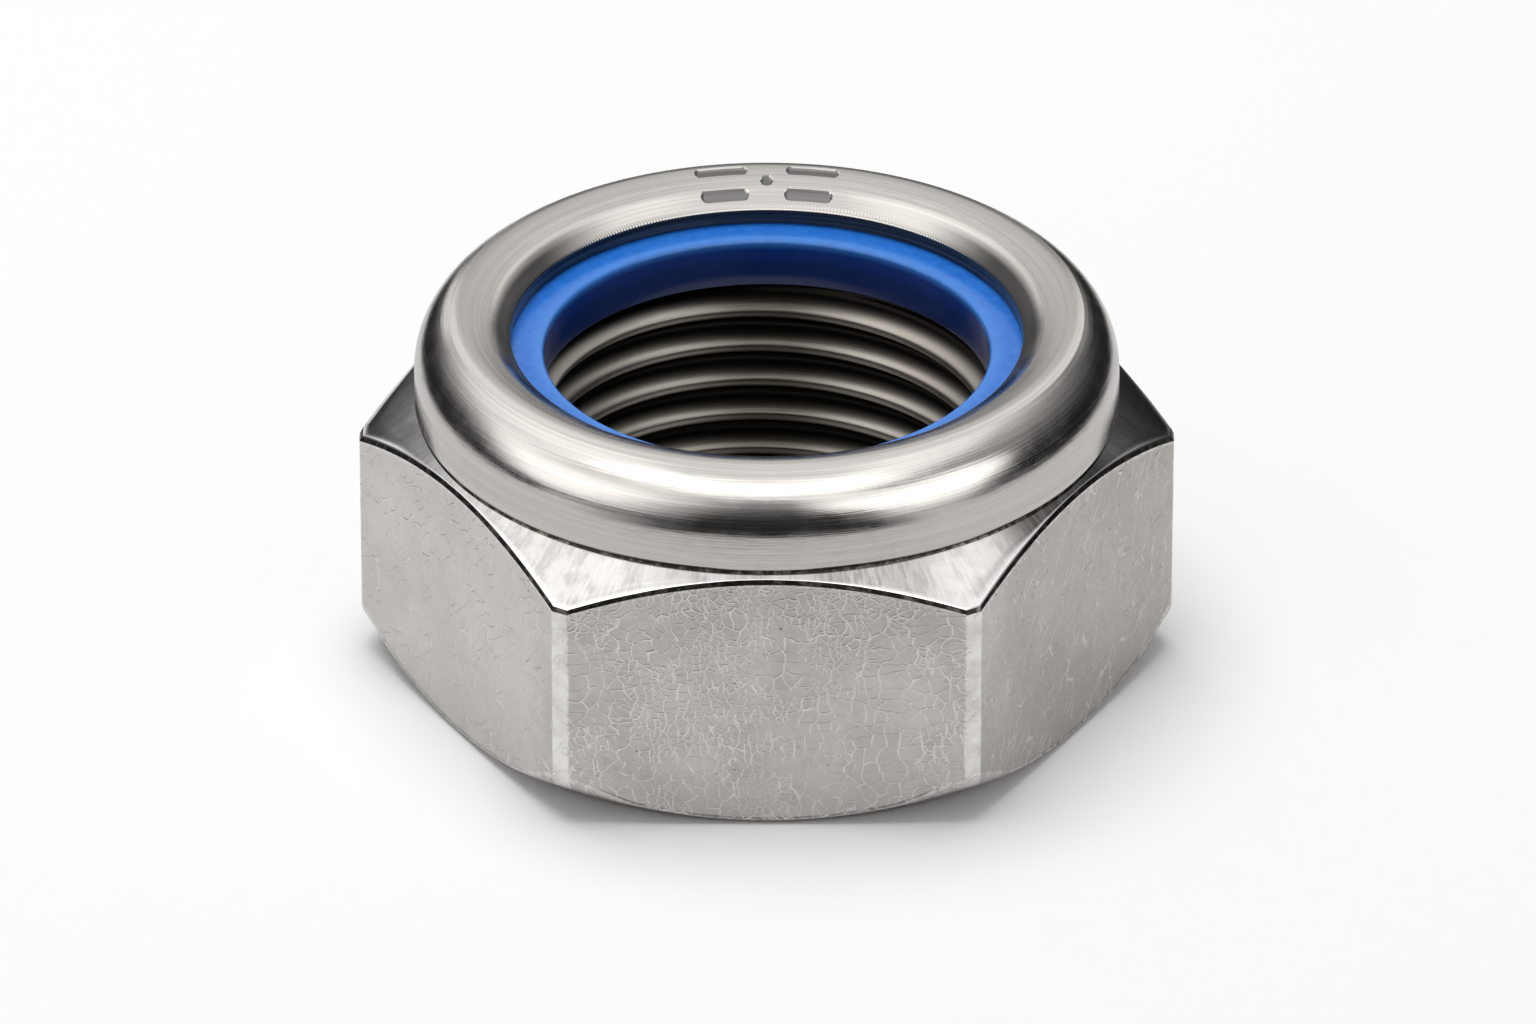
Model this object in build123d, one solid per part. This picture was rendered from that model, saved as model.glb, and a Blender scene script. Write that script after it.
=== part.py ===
from build123d import *
import math
import os

# Thin hexagon lock nut with a nylon ring, for an M18 x 1.5 bolt, in millimetres.
# The origin is on the bearing face, on the axis of the thread. +Z points to the collar.
# Two of the hexagon's flats are square to Y, so two of its corners lie on the X axis.

# Thread
thread_diameter = 18.0
thread_pitch = 1.5
countersink_margin = 0.6
countersink_angle = 120.0

# Hexagon
across_flats = 27.0
hexagon_height = 10.52
corner_flat_width = 0.68
bearing_inset = 0.25
bottom_chamfer_angle = 36.0
top_chamfer_angle = 34.0

# Collar, rolled inwards over the ring
collar_height = 3.9
collar_diameter = 26.56
collar_wall = 1.33
root_flare = 0.12
root_flare_height = 0.9
roll_radius = 2.6
crest_radius = 0.9
crest_start_angle = 61.0
lip_slope = 27.0
lip_margin = 0.65
lip_edge_radius = 0.15

# Nylon ring and its seat inside the collar
seat_rise = 0.38
ring_height = 1.97
ring_bore_margin = 0.21
ring_edge_radius = 0.25
ring_side_clearance = 0.02

# Sizes and places that follow
minor_radius = thread_diameter / 2 - 0.625 * math.sin(math.radians(60)) * thread_pitch
countersink_radius = thread_diameter / 2 + countersink_margin
lip_radius = thread_diameter / 2 + lip_margin
ring_bore_radius = minor_radius + ring_bore_margin
core_radius = minor_radius - thread_pitch / 2
corner_radius = across_flats / math.sqrt(3)
corner_flat_distance = corner_radius - corner_flat_width / 2 * math.tan(math.radians(30))
bearing_radius = across_flats / 2 - bearing_inset
collar_radius = collar_diameter / 2
root_radius = collar_radius + root_flare
overall_height = hexagon_height + collar_height
seat_height = hexagon_height + seat_rise
ring_top = seat_height + ring_height
slope_angle = 90 + lip_slope
crest_offset = roll_radius - crest_radius
roll_center = (
    collar_radius - roll_radius,
    overall_height - crest_radius - crest_offset * math.sin(math.radians(crest_start_angle)),
)
crest_center = (
    roll_center[0] + crest_offset * math.cos(math.radians(crest_start_angle)),
    overall_height - crest_radius,
)


def turned(profile):
    """A solid turned about the thread's axis from a closed profile of radius and height."""
    return revolve(Plane.XZ * make_face(profile), Axis.Z)


def on_arc(center, radius, angle):
    """The point of an arc at an angle above the outward direction."""
    return (
        center[0] + radius * math.cos(math.radians(angle)),
        center[1] + radius * math.sin(math.radians(angle)),
    )


def down_slope(start):
    """Where the slope of the lip, run on from start, comes down to the core."""
    return (core_radius, start[1] - (start[0] - core_radius) * math.tan(math.radians(lip_slope)))


def hexagon_prism():
    """Six flats with a narrow flat left on every corner."""
    flats = RegularPolygon(across_flats / 2, 6, major_radius=False)
    corners = RegularPolygon(corner_flat_distance, 6, major_radius=False, rotation=30)
    return extrude(flats & corners, hexagon_height)


def chamfer_envelope():
    """The cones that cut the corners back at the bearing face and below the collar."""
    outside = corner_radius + corner_flat_width
    bottom_rise = (outside - bearing_radius) * math.tan(math.radians(bottom_chamfer_angle))
    top_drop = (outside - root_radius) * math.tan(math.radians(top_chamfer_angle))
    return turned(
        Polyline(
            (0, 0),
            (bearing_radius, 0),
            (outside, bottom_rise),
            (outside, hexagon_height - top_drop),
            (root_radius, hexagon_height),
            (0, hexagon_height),
            close=True,
        )
    )


def collar_dome():
    """The outside of the collar: its wall, roll and crest, and the slope down to the lip."""
    foot = hexagon_height / 2
    wall_foot = (collar_radius, hexagon_height + root_flare_height)
    wall_top = (collar_radius, roll_center[1])
    slope_top = on_arc(crest_center, crest_radius, slope_angle)
    slope_end = down_slope(slope_top)
    root = Polyline(
        (core_radius, foot), (root_radius, foot), (root_radius, hexagon_height), wall_foot, wall_top
    )
    roll = CenterArc(roll_center, roll_radius, 0, crest_start_angle)
    crest = CenterArc(crest_center, crest_radius, crest_start_angle, slope_angle - crest_start_angle)
    inside = Polyline(slope_top, slope_end, (core_radius, foot))
    return turned([root, roll, crest, inside])


def ring_space(clearance):
    """The room under the rolled collar, less a clearance at its side and roof."""
    side = collar_radius - collar_wall - clearance
    curl_radius = roll_radius - collar_wall - clearance
    slope_top = on_arc(roll_center, curl_radius, slope_angle)
    floor = Polyline((core_radius, seat_height), (side, seat_height), (side, roll_center[1]))
    curl = CenterArc(roll_center, curl_radius, 0, slope_angle)
    roof = Polyline(slope_top, down_slope(slope_top), (core_radius, seat_height))
    return turned([floor, curl, roof])


def lip_opening(start):
    """The round opening inside the lip, from the height start up, with the lip's rounded edge."""
    slope_top = on_arc(crest_center, crest_radius, slope_angle)
    edge_center_radius = lip_radius + lip_edge_radius
    slope_drop = (slope_top[0] - edge_center_radius) * math.tan(math.radians(lip_slope))
    edge_drop = lip_edge_radius / math.cos(math.radians(lip_slope))
    edge_center = (edge_center_radius, slope_top[1] - slope_drop - edge_drop)
    edge = CenterArc(edge_center, lip_edge_radius, slope_angle, 180 - slope_angle)
    edge_top = on_arc(edge_center, lip_edge_radius, slope_angle)
    above = overall_height + crest_radius
    sides = Polyline(
        (lip_radius, edge_center[1]),
        (lip_radius, start),
        (0, start),
        (0, above),
        (edge_top[0], above),
        edge_top,
    )
    return turned([edge, sides])


def tapped_bore():
    """The bore at the thread's minor diameter, countersunk at both ends."""
    depth = (countersink_radius - minor_radius) / math.tan(math.radians(countersink_angle / 2))
    return turned(
        Polyline(
            (0, 0),
            (countersink_radius, 0),
            (minor_radius, depth),
            (minor_radius, seat_height - depth),
            (countersink_radius, seat_height),
            (0, seat_height),
            close=True,
        )
    )


def make_nut_body():
    """The hexagon and its rolled collar, with the ring's seat and the bore cut into them."""
    hexagon = hexagon_prism() & chamfer_envelope()
    body = hexagon + collar_dome()
    body -= ring_space(0)
    body -= lip_opening(seat_height)
    return body - tapped_bore()


def ring_bore():
    """The bore of the ring, with a rounded edge at the top."""
    edge_center = (ring_bore_radius + ring_edge_radius, ring_top - ring_edge_radius)
    edge = CenterArc(edge_center, ring_edge_radius, 90, 90)
    sides = Polyline(
        (ring_bore_radius, edge_center[1]),
        (ring_bore_radius, seat_height),
        (0, seat_height),
        (0, ring_top),
        (edge_center[0], ring_top),
    )
    return turned([edge, sides])


def make_nylon_ring():
    """The ring: its outside swells into the curl of the collar, and a flat face shows inside the lip."""
    shown = Cylinder(lip_radius, ring_height, align=(Align.CENTER, Align.CENTER, Align.MIN))
    ring = ring_space(ring_side_clearance) + Pos(0, 0, seat_height) * shown
    ring -= lip_opening(ring_top)
    return ring - ring_bore()


os.makedirs("parts", exist_ok=True)
export_step(make_nut_body(), "parts/nut_body.step")
export_step(make_nylon_ring(), "parts/nylon_ring.step")
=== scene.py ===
import math

import bmesh
import bpy
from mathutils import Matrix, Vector, noise


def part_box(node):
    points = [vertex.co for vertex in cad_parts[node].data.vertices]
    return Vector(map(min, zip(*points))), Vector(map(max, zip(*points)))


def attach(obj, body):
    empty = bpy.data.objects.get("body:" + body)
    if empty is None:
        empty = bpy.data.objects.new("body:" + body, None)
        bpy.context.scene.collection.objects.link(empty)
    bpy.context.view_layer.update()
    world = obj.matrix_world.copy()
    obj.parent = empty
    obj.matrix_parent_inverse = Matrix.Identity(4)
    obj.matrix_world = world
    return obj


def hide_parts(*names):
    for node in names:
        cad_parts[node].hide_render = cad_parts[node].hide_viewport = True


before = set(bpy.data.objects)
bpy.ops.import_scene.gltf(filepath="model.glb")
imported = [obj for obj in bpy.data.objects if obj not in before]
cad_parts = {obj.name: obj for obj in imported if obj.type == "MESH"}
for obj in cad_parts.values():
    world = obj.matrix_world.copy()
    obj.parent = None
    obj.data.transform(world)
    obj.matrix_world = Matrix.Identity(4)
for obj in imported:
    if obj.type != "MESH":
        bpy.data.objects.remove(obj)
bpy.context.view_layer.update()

mm = 0.001  # the dictionaries below are in millimetres, the meshes in metres
nutLow, nutHigh = [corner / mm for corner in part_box("nut_body")]
ringLow, ringHigh = [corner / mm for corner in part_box("nylon_ring")]


def linear(code):  # sRGB hex to linear colour
    parts = [int(code[i:i + 2], 16) / 255 for i in (1, 3, 5)]
    return (*[p / 12.92 if p <= 0.04045 else ((p + 0.055) / 1.055) ** 2.4 for p in parts], 1.0)


def addNode(tree, kind, settings=None):  # one node; a node or socket among its settings is linked in
    node = tree.nodes.new(kind)
    for name, value in (settings or {}).items():
        if isinstance(value, bpy.types.Node):
            value = value.outputs[0]
        if isinstance(value, bpy.types.NodeSocket):
            tree.links.new(value, node.inputs[name])
        elif isinstance(name, str) and hasattr(node, name):
            setattr(node, name, value)
        else:
            node.inputs[name].default_value = value
    return node


def emptyTree(owner):  # the node tree of a new material or world
    owner.use_nodes = True
    owner.node_tree.nodes.clear()
    return owner.node_tree


def smoothstep(low, high, value):
    t = min(1.0, max(0.0, (value - low) / (high - low)))
    return t * t * (3 - 2 * t)


def onArc(centre, radius, degrees):
    turn = math.radians(degrees)
    return (centre[0] + radius * math.cos(turn), centre[1] + radius * math.sin(turn))


def arc(centre, radius, start, end, count):  # count + 1 points of a section's arc
    return [onArc(centre, radius, start + (end - start) * i / count) for i in range(count + 1)]


def smoothPath(points, count):  # count points on a soft line through the given ones
    path = [points[0]] + list(points) + [points[-1]]
    found = []
    for i in range(count):
        place = i / (count - 1) * (len(points) - 1)
        k = min(int(place), len(points) - 2)
        t = place - k
        found.append(tuple(
            0.5 * (2 * q + (r - p) * t + (2 * p - 5 * q + 4 * r - s) * t * t
                   + (3 * q - p - 3 * r + s) * t ** 3)
            for p, q, r, s in zip(*path[k:k + 4])
        ))
    return found


# Nut body: hexagon, chamfers, rolled collar and thread in one closed mesh

hexagon = {
    "inset": 0.04,  # the faces stand this far inside the bead along their lower edge
    "cornerFlat": 0.68,  # width of the narrow flat on every corner
    "cornerWobble": 0.04,  # the flat's edges aren't quite straight
    "wobbleRate": 0.8,  # waves of that to a millimetre
    "ripple": 0.35,  # share of finer waves in it
    "rippleRate": 4.5,  # how many times as fine they are
    "edgeRound": 0.03,
    "topAngle": 34.0,  # slope of the cone below the collar
    "topHeight": 10.44,  # height of that cone at topRadius
    "topRadius": 13.4,
    "coneStart": 0.04,  # the cone begins this far outside the collar's groove
    "coneRows": (0, 0.1, 0.35, 0.6),  # rows of the mesh, as shares of the cone's width
    # the rows at its rim: distance in from the rim, rise there, and how worn and highlighted it is, a paler
    # colour that is partly wear and partly a painted highlight
    "coneRim": ((0.34, 0.0, 0.0), (0.24, -0.012, 0.0), (0.13, 0.0, 0.4), (0.05, 0.012, 1.0)),
    "bevel": 0.2,  # narrow facet between the cone and each face
    "bevelWave": 0.12,  # how uneven that facet is, as a share of its width
    "bevelWaveRate": 0.21,  # waves of that to a degree
    "bevelAngle": 25.0,
    "bottomAngle": 36.0,
    "bearingRadius": 13.25,
    "bearingEdge": ((0.05, 0.036), (-0.06, 0.0)),  # rows at that edge, as steps in radius and height
    "bearingRows": (12.6, 11.4, 10.3),
    "cornerRound": 0.85,  # rounding of the lower edge at the corners and mid-face
    "faceRound": 0.14,
    "roundRows": (0.25, 0.5, 0.75, 1.0),  # rows of the mesh, as shares of that rounding
    "underFrom": 0.75,  # from this share on it has the underside's finish
    "cornerFrom": 0.7,  # the rounding grows from this far outside the faces' distance from the axis
    "cornerTo": 0.1,  # and is full this far inside the distance of the corners' flats
    "bead": 0.036,  # the lower edge's raised bead
    "beadLoss": 0.75,  # the share of it that the corners don't have
    "beadRows": ((0.07, 0.0), (0.035, 0.6), (0.0, 1.0)),  # rise above the edge and share of the bead
    "beadStart": 0.14,  # the bead begins this far above the edge
    "lowerWearAndHighlight": 0.8,  # how worn the lower edge is, where it begins to turn under; the paler colour there is partly wear and partly a painted highlight
    "faceColumns": 28,
    "faceRows": 22,
    "edgeRows": (0.0, 0.06, 0.17),  # rows this far below the bevel carry the worn edge, paler from wear and a painted highlight
    "sharpAngle": 12,  # edges of the mesh that turn further than this are drawn sharp
}

collar = {
    "radius": 13.28,
    "rollRadius": 2.6,
    "rollHeight": 12.033,
    "rollTop": 61.0,  # degrees of the roll, up to where the crest begins
    "rollRows": 15,
    "wall": 1.33,
    "curlEnd": 117.0,  # degrees of the curl inside, up to where its roof slopes down to the lip
    "curlRows": 7,
    "seatRow": 10.8,  # a row of the mesh between the countersink and the wall
    "lipRadius": 9.65,
    "lipBottom": 12.94,
    "lipCorner": (0.12, 0.05),  # width and height of the lip's lower corner
    "lipRows": (13.2, 13.4),
    "lipEdge": 0.08,
    "lipEdgeDrop": 0.0816,  # the centre of that rounding lies this far below the crest's first point
    "lipEdgeEnd": 125.0,  # degrees of it, where it runs into the crest
    "lipEdgeRows": 3,
    # radius and height over the crest, from the lip outwards
    "crest": [(9.73, 13.55), (9.95, 13.7), (10.2, 13.88), (10.42, 14.045), (10.62, 14.14),
              (11.0, 14.285), (11.5, 14.41), (11.94, 14.307)],
    "crestRows": 52,
    "foot": 10.84,  # the wall ends here, in a small rounded edge over the cone
    "footRows": ((0.0, 0.16), (0.0, 0.0), (-0.015, -0.05), (-0.06, -0.08)),  # in radius and height
    "groove": (13.16, 10.64),
    "grooveRise": 0.05,
    "toothWidth": 0.13,  # the tool left the cut end of the lip serrated
    "toothEnd": (9.95, 9.72),  # radius where the teeth begin, and where they are full
    "paintedShadeSlope": (10.47, 10.05),  # radius where the painted shade on the slope begins, and where it is full
}

thread = {
    "diameter": 18.0,
    "pitch": 1.5,
    "crestHeight": 8.3,  # centre of one crest at the back of the bore
    "mouthRadius": 9.6,  # countersinks
    "mouthAngle": 60.0,
    "crestFlat": 0.035,  # half of the crest, as a share of the pitch; the rest is one soft wave
    # rows of the mesh, as shares of the pitch from the crest's centre
    "steps": (0.0, 0.035, 0.065, 0.1, 0.14, 0.19, 0.25, 0.31, 0.37, 0.43, 0.5),
    "endGap": 0.02,  # what lies closer to an end of the bore joins that end's edge
    "paintedRootShade": (8.3, 8.85),  # radius where the painted shade of the roots begins, and where it is full
}

mark = {  # plain stamped bars and a dot on the back of the collar
    "angle": 90.0,
    "reach": 14.8,  # degrees each side that get finer columns
    "step": 0.3,
    "radius": 10.74,  # middle of the mark
    "barLength": 1.95,
    "barWidth": 0.46,
    "barGap": 0.52,  # from the mark's middle line to each bar's
    "offset": 1.68,  # from the dot to the middle of the bars
    "dotRadius": 0.24,
    "depth": 0.11,
    "soft": 0.08,
    "above": 13.44,  # nothing of the mark is lower than this
}

finishes = ["collar", "lip", "cone", "face", "bevel", "underside", "thread", "mark"]

acrossFlats = nutHigh.y - nutLow.y
apothem = acrossFlats / 2 - hexagon["inset"]
flatDistance = nutHigh.x - hexagon["inset"] / 2
flatHalfAngle = math.degrees(math.atan(hexagon["cornerFlat"] / 2 / flatDistance))
edgeAngle = math.degrees(hexagon["edgeRound"] / flatDistance)
topSlope = math.tan(math.radians(hexagon["topAngle"]))
lowSlope = math.tan(math.radians(hexagon["bottomAngle"]))
rollCentre = (collar["radius"] - collar["rollRadius"], collar["rollHeight"])
seatHeight = ringLow.z


def nutColumns():  # each column of the mesh: its side of the hexagon, where it stands there, and its place
    columns = []
    for side in range(6):
        faceTurn = 60 - 2 * (flatHalfAngle + edgeAngle)
        first = 60 * side + flatHalfAngle + edgeAngle
        shares = [i / hexagon["faceColumns"] for i in range(1, hexagon["faceColumns"])]
        low = (mark["angle"] - mark["reach"] - first) / faceTurn
        high = (mark["angle"] + mark["reach"] - first) / faceTurn
        if 0 < low < 1:
            steps = round(2 * mark["reach"] / mark["step"])
            fine = [low + (high - low) * i / steps for i in range(steps + 1)]
            gap = 0.5 / hexagon["faceColumns"]
            shares = sorted([s for s in shares if s < low - gap or s > high + gap] + fine)
        columns += [(side, "flat", 0.0), (side, "flat", 1.0), (side, "edge", 1.0)]
        columns += [(side, "face", share) for share in shares]
        columns += [(side + 1, "edge", -1.0), (side + 1, "flat", -1.0)]
    return columns


def cornerTurn(corner, hand, height):  # where an edge of a corner's flat lies, in degrees off the corner
    corner = corner % 6
    # each edge has a wobble of its own, because its corner and hand move its place in the noise
    place = Vector((corner * 7.3, hand * 3.1, height * hexagon["wobbleRate"]))
    wobble = noise.noise(place) + hexagon["ripple"] * noise.noise(place * hexagon["rippleRate"])
    return flatHalfAngle + math.degrees(hexagon["cornerWobble"] * wobble / flatDistance)


def columnAngle(column, height=None):  # degrees; with a height, the wobble of the corner's edges shows
    side, kind, share = column

    def edge(corner, hand, extra):
        turn = flatHalfAngle if height is None else cornerTurn(corner, hand, height)
        return 60 * corner + hand * (turn + extra)

    if kind == "flat":
        return 60 * side if share == 0 else edge(side, share, -edgeAngle)
    if kind == "edge":
        return edge(side, share, edgeAngle)
    start, end = edge(side, 1.0, edgeAngle), edge(side + 1, -1.0, edgeAngle)
    return start + (end - start) * share


def hexRadius(column, angle):  # distance of the hexagon's surface from the axis
    side, kind, share = column
    if kind == "flat":
        return flatDistance / math.cos(math.radians(angle - 60 * side))
    middle = 60 * side + (-30 if kind == "edge" and share < 0 else 30)
    return apothem / math.cos(math.radians(angle - middle))


def collarSection():  # radius, height and finish, from the seat round the curl and out to the cone
    curl = collar["rollRadius"] - collar["wall"]
    side = collar["radius"] - collar["wall"]
    lip, edge = collar["lipRadius"], collar["lipEdge"]
    cornerWidth, cornerHeight = collar["lipCorner"]
    rows = [(radius, seatHeight) for radius in (thread["mouthRadius"], collar["seatRow"], side)]
    rows += arc(rollCentre, curl, 0, collar["curlEnd"], collar["curlRows"])
    rows.append((lip + cornerWidth, collar["lipBottom"] + cornerHeight))
    rows += [(lip, height) for height in (collar["lipBottom"], *collar["lipRows"])]
    section = [(r, z, "lip") for r, z in rows]
    edgeHeight = collar["crest"][0][1] - collar["lipEdgeDrop"]
    rows = arc((lip + edge, edgeHeight), edge, 180, collar["lipEdgeEnd"], collar["lipEdgeRows"])
    rows += smoothPath(collar["crest"], collar["crestRows"])
    rows += arc(rollCentre, collar["rollRadius"], collar["rollTop"], 0, collar["rollRows"])[1:]
    rows += [(collar["radius"] + out, collar["foot"] + up) for out, up in collar["footRows"]]
    section += [(r, z, "collar") for r, z in rows]
    radius, height = collar["groove"]
    section += [(radius, height + collar["grooveRise"], "bevel"), (radius, height, "bevel")]
    return section


def markDepth(angle, radius):  # how deep the stamped mark is here, as a share
    across = math.radians(angle - mark["angle"]) * mark["radius"]
    along = radius - mark["radius"]
    dot = math.hypot(across, along) - mark["dotRadius"]
    side = abs(across) - mark["offset"]
    row = abs(along) - mark["barGap"]
    half = (mark["barLength"] - mark["barWidth"]) / 2
    bar = math.hypot(max(0.0, abs(side) - half), row) - mark["barWidth"] / 2
    return 1 - smoothstep(-mark["soft"], 0.0, min(dot, bar))


def coneHeight(radius):
    return hexagon["topHeight"] - (radius - hexagon["topRadius"]) * topSlope


def coneSection(plain, outer):  # the cone and its bevel in one column, and the height where they end
    wave = noise.noise(Vector((plain * hexagon["bevelWaveRate"], 4.0, 0.0)))
    bevel = hexagon["bevel"] * (1 + hexagon["bevelWave"] * wave)
    inwards = bevel * math.sin(math.radians(hexagon["bevelAngle"]))
    drop = bevel * math.cos(math.radians(hexagon["bevelAngle"])) - inwards * topSlope
    start = collar["groove"][0] + hexagon["coneStart"]
    rim = outer - inwards
    width = rim - start
    fit = min(1.0, width)
    turned = [(start + width * part, 0.0, 0.0) for part in hexagon["coneRows"]]
    turned += [(rim - back * fit, lift * fit, wornAndHighlight) for back, lift, wornAndHighlight in hexagon["coneRim"]]
    rows = [(radius, coneHeight(radius) + lift, "cone", wornAndHighlight) for radius, lift, wornAndHighlight in turned]
    rows.append((rim, coneHeight(rim), "bevel", 1.0))
    return rows, coneHeight(outer) - drop


def hexSection(column):  # the cone, the face or corner flat and the lower edge, for one column
    plain = columnAngle(column)
    outer = hexRadius(column, plain)
    rows, top = coneSection(plain, outer)
    cornered = smoothstep(apothem + hexagon["cornerFrom"], flatDistance - hexagon["cornerTo"], outer)
    rounding = hexagon["faceRound"] + (hexagon["cornerRound"] - hexagon["faceRound"]) * cornered
    turn = 90 - hexagon["bottomAngle"]
    tangent = rounding * math.tan(math.radians(turn / 2))
    low = (outer - hexagon["bearingRadius"]) * lowSlope
    bottom = low + tangent
    bead = hexagon["bead"] * (1 - hexagon["beadLoss"] * cornered)
    reach = bottom + hexagon["beadStart"]
    heights = [(top - below, 1.0 - below / hexagon["edgeRows"][-1]) for below in hexagon["edgeRows"]]
    first = heights[-1][0]
    count = hexagon["faceRows"]
    heights += [(first + (reach - first) * (i + 1) / count, 0.0) for i in range(count)]
    angles = {}
    for height, wornAndHighlight in heights:
        angle = columnAngle(column, height)
        angles[len(rows)] = angle
        rows.append((hexRadius(column, angle), height, "face", wornAndHighlight))
    lastAngle = angle
    last = hexRadius(column, lastAngle)
    for rise, part in hexagon["beadRows"]:
        angles[len(rows)] = lastAngle
        rows.append((last + bead * part, bottom + rise, "face", part))
    for part in hexagon["roundRows"]:
        radius, height = onArc((last + (outer - last) * part - rounding, bottom), rounding, -turn * part)
        angles[len(rows)] = lastAngle + (plain - lastAngle) * part
        finish = "face" if part < hexagon["underFrom"] else "underside"
        rows.append((radius + bead * (1 - part), height, finish, hexagon["lowerWearAndHighlight"] * (1 - part)))
    bearing = hexagon["bearingRadius"]
    middle = (rows[-1][0] + bearing) / 2
    rows.append((middle, (middle - bearing) * lowSlope, "underside", 0.0))
    rows += [(bearing + out, up, "underside", 0.0) for out, up in hexagon["bearingEdge"]]
    for radius in (*hexagon["bearingRows"], thread["mouthRadius"]):
        rows.append((radius, 0.0, "underside", 0.0))
    return rows, angles


def point(radius, angle, height):  # millimetres and degrees to a place in metres
    turn = math.radians(angle)
    return (radius * math.cos(turn) * mm, radius * math.sin(turn) * mm, height * mm)


def nutOutside(bm, columns):  # everything but the bore; gives the rows of every column
    section = collarSection()
    wornAndHighlightLayer = bm.verts.layers.float.new("wornAndHighlight")
    cornerLayer = bm.verts.layers.float.new("corner")
    grid = []
    for column in columns:
        plain = columnAngle(column)
        away = abs((plain + 30) % 60 - 30)
        fromCorner = math.radians(away) * flatDistance
        verts = []
        stamped = abs(plain - mark["angle"]) < mark["reach"]
        for radius, height, finish in section:
            depth = 0.0
            if stamped and finish == "collar" and height > mark["above"]:
                depth = markDepth(plain, radius)
                if depth > 0.5:
                    finish = "mark"
            vert = bm.verts.new(point(radius, plain, height - mark["depth"] * depth))
            verts.append((vert, finish))
        rows, angles = hexSection(column)
        for i, (radius, height, finish, wornAndHighlight) in enumerate(rows):
            vert = bm.verts.new(point(radius, angles.get(i, plain), height))
            vert[wornAndHighlightLayer] = wornAndHighlight
            vert[cornerLayer] = fromCorner
            verts.append((vert, finish))
        grid.append(verts)
    for i, left in enumerate(grid):
        right = grid[(i + 1) % len(grid)]
        for row in range(len(left) - 1):
            corners = (left[row], right[row], right[row + 1], left[row + 1])
            face = bm.faces.new([vert for vert, finish in corners])
            shown = [finish for vert, finish in corners]
            finish = "mark" if shown.count("mark") > 2 else shown[0]
            face.material_index = finishes.index(finish)
    return grid


def threadRadius(share):  # radius of the thread at a share of the pitch from the nearest crest
    depth = 0.625 * math.sin(math.radians(60)) * thread["pitch"]  # 5/8 of the sharp thread's height
    flat = thread["crestFlat"]
    wave = (1 - math.cos(math.pi * max(0.0, share - flat) / (0.5 - flat))) / 2
    return thread["diameter"] / 2 - depth * (1 - wave)


def nutThread(bm, columns, grid):  # right-hand thread, run out in the two countersinks
    pitch, gap = thread["pitch"], thread["endGap"]
    half = thread["steps"]
    shares = sorted([-share for share in half[1:-1]] + list(half))
    slope = math.tan(math.radians(thread["mouthAngle"]))
    turns = math.ceil(seatHeight / pitch) + 5  # more than the bore is long: its ends cut them off
    base = thread["crestHeight"] - pitch * (math.floor(thread["crestHeight"] / pitch) + 2)
    table = []
    for column, outside in zip(columns, grid):
        angle = columnAngle(column)
        rise = pitch * (angle - mark["angle"]) / 360
        verts = []
        for turn in range(turns):
            for share in shares:
                height = base + pitch * (turn + share) + rise
                if height <= gap:
                    verts.append(outside[-1][0])
                elif height >= seatHeight - gap:
                    verts.append(outside[0][0])
                else:
                    mouth = thread["mouthRadius"] - slope * min(height, seatHeight - height)
                    radius = max(threadRadius(abs(share)), mouth)
                    verts.append(bm.verts.new(point(radius, angle, height)))
        table.append(verts)
    for i, left in enumerate(table):
        right = table[(i + 1) % len(table)]
        jump = len(shares) if i == len(table) - 1 else 0  # one pitch higher after a whole turn
        for row in range(len(left) - 1 - jump):
            corners = (left[row + jump], right[row], right[row + 1], left[row + 1 + jump])
            corners = list(dict.fromkeys(corners))  # some are one and the same at an end of the bore
            if len(corners) > 2:
                face = bm.faces.new(corners)
                face.material_index = finishes.index("thread")


def finishMesh(bm, name, materials, sharpAngle=60, rounded=None):
    # rounded is the number of the material that has no sharp edges
    bmesh.ops.recalc_face_normals(bm, faces=bm.faces)
    for face in bm.faces:
        face.smooth = True
    limit = math.radians(sharpAngle)
    for edge in bm.edges:
        soft = all(face.material_index == rounded for face in edge.link_faces)
        edge.smooth = soft or edge.calc_face_angle(0.0) < limit
    mesh = bpy.data.meshes.new(name)
    bm.to_mesh(mesh)
    bm.free()
    for material in materials:
        mesh.materials.append(material)
    piece = bpy.data.objects.new(name, mesh)
    bpy.context.scene.collection.objects.link(piece)
    return piece


def makeNut(materials):
    bm = bmesh.new()
    columns = nutColumns()
    grid = nutOutside(bm, columns)
    nutThread(bm, columns, grid)
    inOrder = [materials[name] for name in finishes]
    return finishMesh(bm, "lockNutBody", inOrder, hexagon["sharpAngle"], finishes.index("thread"))


# Nylon ring: moulded, with a rounded inner edge

ring = {
    "bore": 8.398,
    "top": 12.87,
    "innerEdge": 0.2,
    "innerEdgeRows": 8,
    "lowerEdge": 0.12,
    "showsTo": 9.68,  # the top face runs to here under the lip
    "outerEdge": 0.1,
    "wallRows": (0.3, 0.6, 0.85),  # rows of the mesh, as shares of the bore's wall
    "curlRows": 10,
    "topRow": 9.3,
    "bottomRow": 10.2,
    "columns": 300,
    "sharpAngle": 30,
}


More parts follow.
